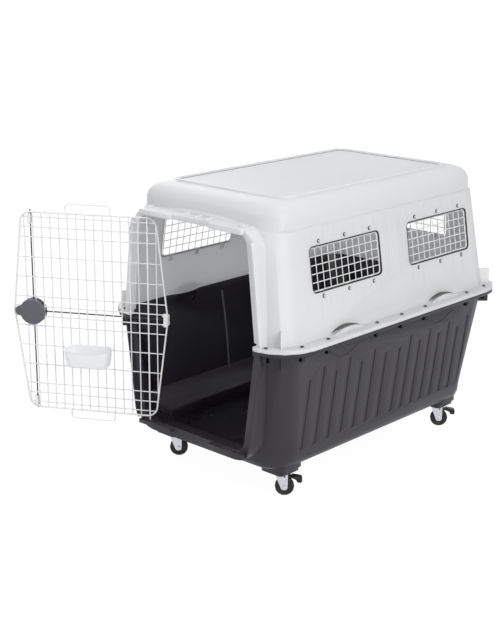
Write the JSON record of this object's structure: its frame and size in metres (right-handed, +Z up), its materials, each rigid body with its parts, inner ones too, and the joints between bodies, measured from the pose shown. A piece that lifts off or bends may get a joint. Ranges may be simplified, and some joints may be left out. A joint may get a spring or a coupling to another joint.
{
  "type": "dog travel crate",
  "caption": "Rigid dog travel crate with a wire door on a swing hinge, wire window grilles, a hook-on bowl and braked swivel casters.",
  "frame": {"origin": "middle of the tray's flat underside, with the crate level on its casters", "axes": "+Z up, -Y out of the doorway, +X to the latch side of the doorway"},
  "size_m": [0.893, 1.2436, 0.8518],
  "materials": {
    "canopy_plastic": "fine satin",
    "tray_plastic": "fine grain",
    "latch_plastic": "satin",
    "bowl_plastic": "translucent white",
    "guide_plastic": "satin",
    "white_wire": "coated",
    "black_rod": "coated",
    "zinc_steel": "zinc plated",
    "wheel_rubber": "matte",
    "pedal_plastic": "matte"
  },
  "bodies": {
    "crate": {"tray": "tray_plastic", "canopy": "canopy_plastic", "grille_right_front": "white_wire", "grille_right_rear": "white_wire", "grille_left_front": "white_wire", "grille_left_rear": "white_wire", "grille_rear": "white_wire", "shell_bolt_01": "zinc_steel", "shell_bolt_02": "zinc_steel", "shell_bolt_03": "zinc_steel", "shell_bolt_04": "zinc_steel", "shell_bolt_05": "zinc_steel", "shell_bolt_06": "zinc_steel", "shell_bolt_07": "zinc_steel", "shell_bolt_08": "zinc_steel", "shell_bolt_09": "zinc_steel", "shell_bolt_10": "zinc_steel", "shell_bolt_11": "zinc_steel", "shell_bolt_12": "zinc_steel", "shell_bolt_13": "zinc_steel", "shell_bolt_14": "zinc_steel", "shell_bolt_15": "zinc_steel", "shell_bolt_16": "zinc_steel", "shell_bolt_17": "zinc_steel", "shell_bolt_18": "zinc_steel", "shell_bolt_19": "zinc_steel", "caster_plate_front_left": "zinc_steel", "caster_plate_front_right": "zinc_steel", "caster_plate_rear_left": "zinc_steel", "caster_plate_rear_right": "zinc_steel"},
    "door": {"door_panel": "white_wire", "latch_cover": "latch_plastic", "latch_case": "latch_plastic", "guide_upper": "guide_plastic", "guide_lower": "guide_plastic", "guide_side": "guide_plastic"},
    "latch_knob": {"latch_knob": "latch_plastic"},
    "bolt_upper": {"bolt_upper": "black_rod"},
    "bolt_lower": {"bolt_lower": "black_rod"},
    "bolt_free_side": {"bolt_free_side": "black_rod"},
    "bolt_hinge_side": {"bolt_hinge_side": "black_rod"},
    "bowl": {"bowl": "bowl_plastic"},
    "swivel_front_left": {"caster_fork_front_left": "zinc_steel", "caster_axle_front_left": "zinc_steel"},
    "wheel_front_left": {"caster_wheel_front_left": "wheel_rubber"},
    "pedal_front_left": {"caster_pedal_front_left": "pedal_plastic"},
    "swivel_front_right": {"caster_fork_front_right": "zinc_steel", "caster_axle_front_right": "zinc_steel"},
    "wheel_front_right": {"caster_wheel_front_right": "wheel_rubber"},
    "pedal_front_right": {"caster_pedal_front_right": "pedal_plastic"},
    "swivel_rear_left": {"caster_fork_rear_left": "zinc_steel", "caster_axle_rear_left": "zinc_steel"},
    "wheel_rear_left": {"caster_wheel_rear_left": "wheel_rubber"},
    "pedal_rear_left": {"caster_pedal_rear_left": "pedal_plastic"},
    "swivel_rear_right": {"caster_fork_rear_right": "zinc_steel", "caster_axle_rear_right": "zinc_steel"},
    "wheel_rear_right": {"caster_wheel_rear_right": "wheel_rubber"},
    "pedal_rear_right": {"caster_pedal_rear_right": "pedal_plastic"}
  },
  "joints": [
    {"name": "door_hinge", "type": "hinge", "parent": "crate", "child": "door", "pos_m": [-0.1745, -0.511, 0.367], "axis": [0, 0, 1], "range_deg": [-10, 150]},
    {"name": "latch_turn", "type": "hinge", "parent": "door", "child": "latch_knob", "pos_m": [-0.47674, -0.6855, 0.367], "axis": [-0.5, 0.866, 0], "range_deg": [0, 90]},
    {"name": "bolt_upper_slide", "type": "slide", "parent": "door", "child": "bolt_upper", "axis": [0, 0, 1], "range_m": [0, 0.014]},
    {"name": "bolt_lower_slide", "type": "slide", "parent": "door", "child": "bolt_lower", "axis": [0, 0, -1], "range_m": [0, 0.014]},
    {"name": "bolt_free_side_slide", "type": "slide", "parent": "door", "child": "bolt_free_side", "axis": [-0.866, -0.5, 0], "range_m": [0, 0.014]},
    {"name": "bolt_hinge_side_slide", "type": "slide", "parent": "door", "child": "bolt_hinge_side", "axis": [0.866, 0.5, 0], "range_m": [0, 0.014]},
    {"name": "bowl_lift", "type": "slide", "parent": "door", "child": "bowl", "axis": [0, 0, 1], "range_m": [0, 0.012]},
    {"name": "swivel_front_left", "type": "hinge", "parent": "crate", "child": "swivel_front_left", "pos_m": [-0.2137, -0.376, -0.024], "axis": [0, 0, 1], "continuous": true},
    {"name": "wheel_front_left", "type": "hinge", "parent": "swivel_front_left", "child": "wheel_front_left", "pos_m": [-0.20416, -0.36717, -0.0725], "axis": [-0.6794, 0.7337, 0], "continuous": true},
    {"name": "brake_front_left", "type": "hinge", "parent": "swivel_front_left", "child": "pedal_front_left", "pos_m": [-0.20416, -0.36717, -0.0406], "axis": [-0.6794, 0.7337, 0], "range_deg": [0, 12]},
    {"name": "swivel_front_right", "type": "hinge", "parent": "crate", "child": "swivel_front_right", "pos_m": [0.2137, -0.376, -0.024], "axis": [0, 0, 1], "continuous": true},
    {"name": "wheel_front_right", "type": "hinge", "parent": "swivel_front_right", "child": "wheel_front_right", "pos_m": [0.22324, -0.36717, -0.0725], "axis": [-0.6794, 0.7337, 0], "continuous": true},
    {"name": "brake_front_right", "type": "hinge", "parent": "swivel_front_right", "child": "pedal_front_right", "pos_m": [0.22324, -0.36717, -0.0406], "axis": [-0.6794, 0.7337, 0], "range_deg": [0, 12]},
    {"name": "swivel_rear_left", "type": "hinge", "parent": "crate", "child": "swivel_rear_left", "pos_m": [-0.2137, 0.376, -0.024], "axis": [0, 0, 1], "continuous": true},
    {"name": "wheel_rear_left", "type": "hinge", "parent": "swivel_rear_left", "child": "wheel_rear_left", "pos_m": [-0.20416, 0.38483, -0.0725], "axis": [-0.6794, 0.7337, 0], "continuous": true},
    {"name": "brake_rear_left", "type": "hinge", "parent": "swivel_rear_left", "child": "pedal_rear_left", "pos_m": [-0.20416, 0.38483, -0.0406], "axis": [-0.6794, 0.7337, 0], "range_deg": [0, 12]},
    {"name": "swivel_rear_right", "type": "hinge", "parent": "crate", "child": "swivel_rear_right", "pos_m": [0.2137, 0.376, -0.024], "axis": [0, 0, 1], "continuous": true},
    {"name": "wheel_rear_right", "type": "hinge", "parent": "swivel_rear_right", "child": "wheel_rear_right", "pos_m": [0.22324, 0.38483, -0.0725], "axis": [-0.6794, 0.7337, 0], "continuous": true},
    {"name": "brake_rear_right", "type": "hinge", "parent": "swivel_rear_right", "child": "pedal_rear_right", "pos_m": [0.22324, 0.38483, -0.0406], "axis": [-0.6794, 0.7337, 0], "range_deg": [0, 12]}
  ],
  "couplings": [
    {"joint": "bolt_upper_slide", "follows": "latch_turn", "m_per_rad": 0.0089126},
    {"joint": "bolt_lower_slide", "follows": "latch_turn", "m_per_rad": 0.0089126},
    {"joint": "bolt_free_side_slide", "follows": "latch_turn", "m_per_rad": 0.0089126},
    {"joint": "bolt_hinge_side_slide", "follows": "latch_turn", "m_per_rad": 0.0089126}
  ]
}
